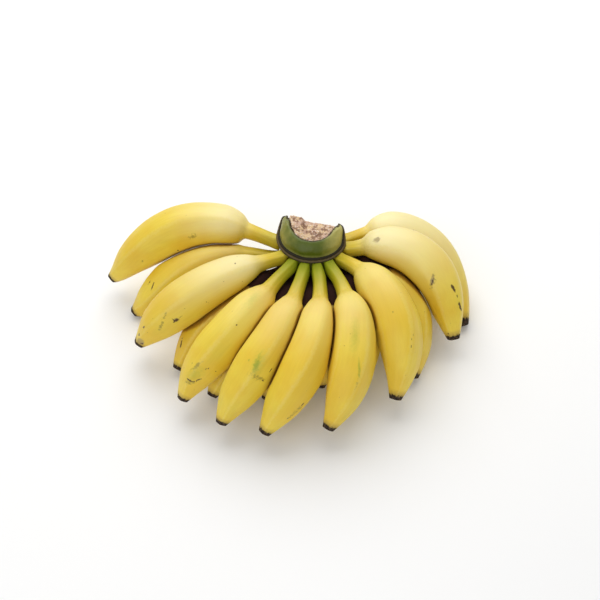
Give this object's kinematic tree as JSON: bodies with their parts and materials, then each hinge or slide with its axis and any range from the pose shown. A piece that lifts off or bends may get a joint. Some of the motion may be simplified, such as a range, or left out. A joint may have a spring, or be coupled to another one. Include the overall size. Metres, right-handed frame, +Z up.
{
  "type": "banana hand",
  "caption": "Hand of short thick ripe bananas on a green crown with a cut fibrous face, lying palm down on its fingertips",
  "frame": {"origin": "middle of the bounding box's underside, on the table that the fingertips rest on", "axes": "+Z up, fingers spread to the front (-Y) and to both sides (X), crown at the top towards the back (+Y)"},
  "size_m": [0.2442, 0.158, 0.0663],
  "materials": {
    "banana_peel": "waxy yellow peel, green at the stems and dark at the blossom scars",
    "crown_skin": "green skin with a dark bract scar and a tan fibrous cut face"
  },
  "bodies": {
    "root": {"crown": "crown_skin", "upper_finger_1": "banana_peel", "upper_finger_2": "banana_peel", "upper_finger_3": "banana_peel", "upper_finger_4": "banana_peel", "upper_finger_5": "banana_peel", "upper_finger_6": "banana_peel", "upper_finger_7": "banana_peel", "upper_finger_8": "banana_peel", "lower_finger_1": "banana_peel", "lower_finger_2": "banana_peel", "lower_finger_3": "banana_peel", "lower_finger_4": "banana_peel", "lower_finger_5": "banana_peel", "lower_finger_6": "banana_peel", "lower_finger_7": "banana_peel", "lower_finger_8": "banana_peel"}
  },
  "joints": []
}
